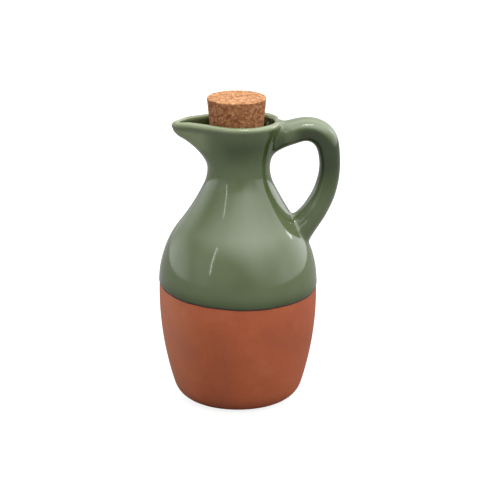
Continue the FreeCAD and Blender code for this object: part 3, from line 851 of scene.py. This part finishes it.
def finish_jug(jug):
    """Gives the jug its three finishes by place, one of them a painted shadow line under the glaze's edge,
    and stores where the glaze pools together with painted shade and painted light.
    """
    for material in (sage_glaze(), bare_terracotta(), glaze_edge_shadow_line()):
        jug.data.materials.append(material)
    glazed, bare, edge_shadow = 0, 1, 2
    mesh = jug.data
    co = positions(jug) / MM
    inner = np.empty(len(co))
    mesh.attributes["inner"].data.foreach_get("value", inner)
    above = co[:, 2] - GLAZE_ROW_HEIGHT - dip_rise(np.arctan2(co[:, 1], co[:, 0]))
    chosen = []
    for face in mesh.polygons:
        corners = list(face.vertices)
        lift = above[corners].mean()
        if lift >= -0.02 or inner[corners].max() >= 0.5:
            chosen.append(glazed)
        else:
            # a thin line just below where the glaze ends takes the painted shadow
            chosen.append(edge_shadow if lift > -EDGE_SHADOW_WIDTH else bare)
    mesh.polygons.foreach_set("material_index", chosen)
    store(jug, "glaze_pool", glaze_depth_and_painted_light(co, outward(jug), above, inner))


def build_jug():
    """The jug in one piece: thrown, handled, glazed."""
    jug = throw_jug()
    strap = pull_strap()
    join_strap(jug, strap)
    finish_jug(jug)
    choose(jug)
    bpy.ops.object.shade_smooth()
    jug.name = "glazed_jug"
    return jug


def turn_cork():
    """The tapered cork with its two edges rounded and its two ends closed."""
    bottom = STOPPER_TOP - STOPPER_LENGTH
    low = STOPPER_RADIUS - STOPPER_TAPER * STOPPER_LENGTH
    profile = [(r, bottom) for r in STOPPER_UNDER]
    profile += [(low - inwards, bottom + up) for inwards, up in STOPPER_LOWER_EDGE]
    for k in range(1, STOPPER_ROWS):
        z = bottom + STOPPER_LENGTH * k / STOPPER_ROWS
        profile.append((low + STOPPER_TAPER * (z - bottom), z))
    profile += [(STOPPER_RADIUS - inwards, STOPPER_TOP - down) for inwards, down in STOPPER_UPPER_EDGE]
    first, last, count = STOPPER_FLAT
    profile += [(r, STOPPER_TOP) for r in np.linspace(STOPPER_RADIUS - first, last, count)]
    cork = draw_profile("cork", profile)
    throw(cork)
    choose(cork)
    for level, ring in ((bottom, STOPPER_UNDER[0]), (STOPPER_TOP, last)):
        co = positions(cork) / MM
        inside = np.hypot(co[:, 0], co[:, 1]) < ring + 0.05
        select_vertices(cork, inside & (abs(co[:, 2] - level) < 0.01))
        bpy.ops.object.mode_set(mode="EDIT")
        bpy.ops.mesh.select_mode(type="EDGE")
        bpy.ops.mesh.edge_face_add()
        bpy.ops.object.mode_set(mode="OBJECT")
    bpy.ops.object.mode_set(mode="EDIT")
    bpy.ops.mesh.select_all(action="SELECT")
    bpy.ops.mesh.normals_make_consistent(inside=False)
    bpy.ops.object.mode_set(mode="OBJECT")
    return cork


def roughen_cork(cork):
    """Sinks the pits between the granules and stores them, with the darker streaks of the side."""
    co = positions(cork)
    normals = outward(cork)
    pits = []
    for point in co:
        near = noise.voronoi(Vector(point) / (PIT_APART * MM))[0]
        field = noise.noise(Vector(point) / (PIT_FIELD * MM) + Vector((7.0, 3.0, 1.0)))
        pits.append(max(0.0, 1 - near[0] / PIT_SIZE) if field > PIT_FIELD_FROM else 0.0)
    pits = np.array(pits)
    grain = np.array([noise.noise(Vector(p) / (GRAIN_SIZE * MM)) for p in co])
    streaks = np.array([
        noise.noise(Vector((p[0], p[1], STREAK_SQUASH * p[2])) / (STREAK_SIZE * MM)) for p in co
    ])
    co = co + normals * ((GRAIN_DEPTH * grain - PIT_DEPTH * pits) * MM)[:, None]
    co[:, 0] += STOPPER_SHIFT * MM
    put(cork, co)
    upright = abs(normals[:, 2]) < 0.5
    side = upright * (SIDE_DARK + STREAK_DARK * np.clip(streaks - STREAK_FROM, 0, 1))
    store(cork, "pit", np.clip(pits * PIT_DARK + side, 0, 1))


def build_stopper():
    """The pressed cork, turned and then roughened by its pits."""
    cork = turn_cork()
    roughen_cork(cork)
    cork.data.materials.append(pressed_cork())
    choose(cork)
    bpy.ops.object.shade_smooth_by_angle(angle=CORK_CREASE)
    cork.name = "cork_stopper"
    return cork


def lay_floor():
    """A plain pale floor that goes white to the eye away from the object's shadow."""
    bpy.ops.object.select_all(action="DESELECT")
    bpy.ops.mesh.primitive_plane_add(size=FLOOR_SIZE, location=(0, 0, 0))
    floor = bpy.context.object
    floor.name = "studio_floor"
    material, tree = new_material("studio_floor_white")
    path = add_node(tree, "ShaderNodeLightPath")
    plain = add_node(tree, "ShaderNodeBsdfDiffuse", {"Color": hue("8C8C8A")}).outputs[0]
    glow = add_node(tree, "ShaderNodeEmission", {"Color": WHITE, "Strength": FLOOR_GLOW}).outputs[0]
    both = add_node(tree, "ShaderNodeAddShader", links={0: plain, 1: glow}).outputs[0]
    seen = add_node(tree, "ShaderNodeMixShader", links={0: path.outputs["Is Camera Ray"], 1: plain, 2: both})
    add_node(tree, "ShaderNodeOutputMaterial", links={"Surface": seen.outputs[0]})
    floor.data.materials.append(material)


def light_world():
    """Soft light from a pale room, and plain white wherever the eye meets the background."""
    world = bpy.data.worlds.new("studio")
    bpy.context.scene.world = world
    world.use_nodes = True
    tree = world.node_tree
    tree.nodes.clear()
    path = add_node(tree, "ShaderNodeLightPath")
    way = add_node(tree, "ShaderNodeTexCoord").outputs["Generated"]
    total = add_node(tree, "ShaderNodeValue").outputs[0]
    total.default_value = ROOM_GLOW
    for direction, start, full, strength in ROOM_PARTS:
        toward = add_node(tree, "ShaderNodeVectorMath", {
            "operation": "DOT_PRODUCT", 1: Vector(direction).normalized(),
        }, {0: way})
        part = add_node(tree, "ShaderNodeMapRange", {
            "interpolation_type": "SMOOTHSTEP",
            "From Min": start, "From Max": full, "To Min": 0.0, "To Max": strength,
        }, {"Value": toward.outputs["Value"]})
        both = add_node(tree, "ShaderNodeMath", {"operation": "ADD"}, {0: total, 1: part.outputs[0]})
        total = both.outputs[0]
    room = add_node(tree, "ShaderNodeBackground", {"Color": WHITE}, {"Strength": total})
    white = add_node(tree, "ShaderNodeBackground", {"Color": WHITE, "Strength": 1.0})
    seen = add_node(tree, "ShaderNodeMixShader", links={
        0: path.outputs["Is Camera Ray"], 1: room.outputs[0], 2: white.outputs[0],
    })
    add_node(tree, "ShaderNodeOutputWorld", links={"Surface": seen.outputs[0]})


def hang_lamps():
    """Four soft lamps: a long one above, and three for the streaks in the glaze."""
    for name, place, size, power in LAMPS:
        bpy.ops.object.light_add(type="AREA", location=place)
        lamp = bpy.context.object
        lamp.name = name
        lamp.data.shape = "RECTANGLE"
        lamp.data.size, lamp.data.size_y = size
        lamp.data.energy = power
        lamp.rotation_euler = (Vector(LAMPS_AIM) - Vector(place)).to_track_quat("-Z", "Y").to_euler()


def aim_camera():
    """Seen from the front and a little above, from well back, so that it looks nearly flat-on."""
    back = Vector((0, -math.cos(CAMERA_UP), math.sin(CAMERA_UP)))
    bpy.ops.object.camera_add(location=Vector(CAMERA_AIM) * MM + back * CAMERA_AWAY)
    camera = bpy.context.object
    camera.rotation_mode = "QUATERNION"
    camera.rotation_quaternion = (-back).to_track_quat("-Z", "Y")
    camera.data.lens = CAMERA_LENS
    camera.data.sensor_width = CAMERA_SENSOR
    camera.data.clip_start, camera.data.clip_end = CAMERA_SEES
    bpy.context.scene.camera = camera
    bpy.context.scene.view_settings.view_transform = "Standard"


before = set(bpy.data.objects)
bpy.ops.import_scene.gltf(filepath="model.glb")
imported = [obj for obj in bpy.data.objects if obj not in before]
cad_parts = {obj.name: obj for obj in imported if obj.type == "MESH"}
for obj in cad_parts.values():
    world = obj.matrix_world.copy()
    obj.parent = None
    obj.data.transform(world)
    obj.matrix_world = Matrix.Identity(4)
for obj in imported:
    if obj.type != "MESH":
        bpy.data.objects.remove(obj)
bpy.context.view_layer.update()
jug = build_jug()
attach(jug, "root")
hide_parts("jug")
stopper = build_stopper()
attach(stopper, "root")
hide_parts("stopper")
lay_floor()
light_world()
hang_lamps()
aim_camera()
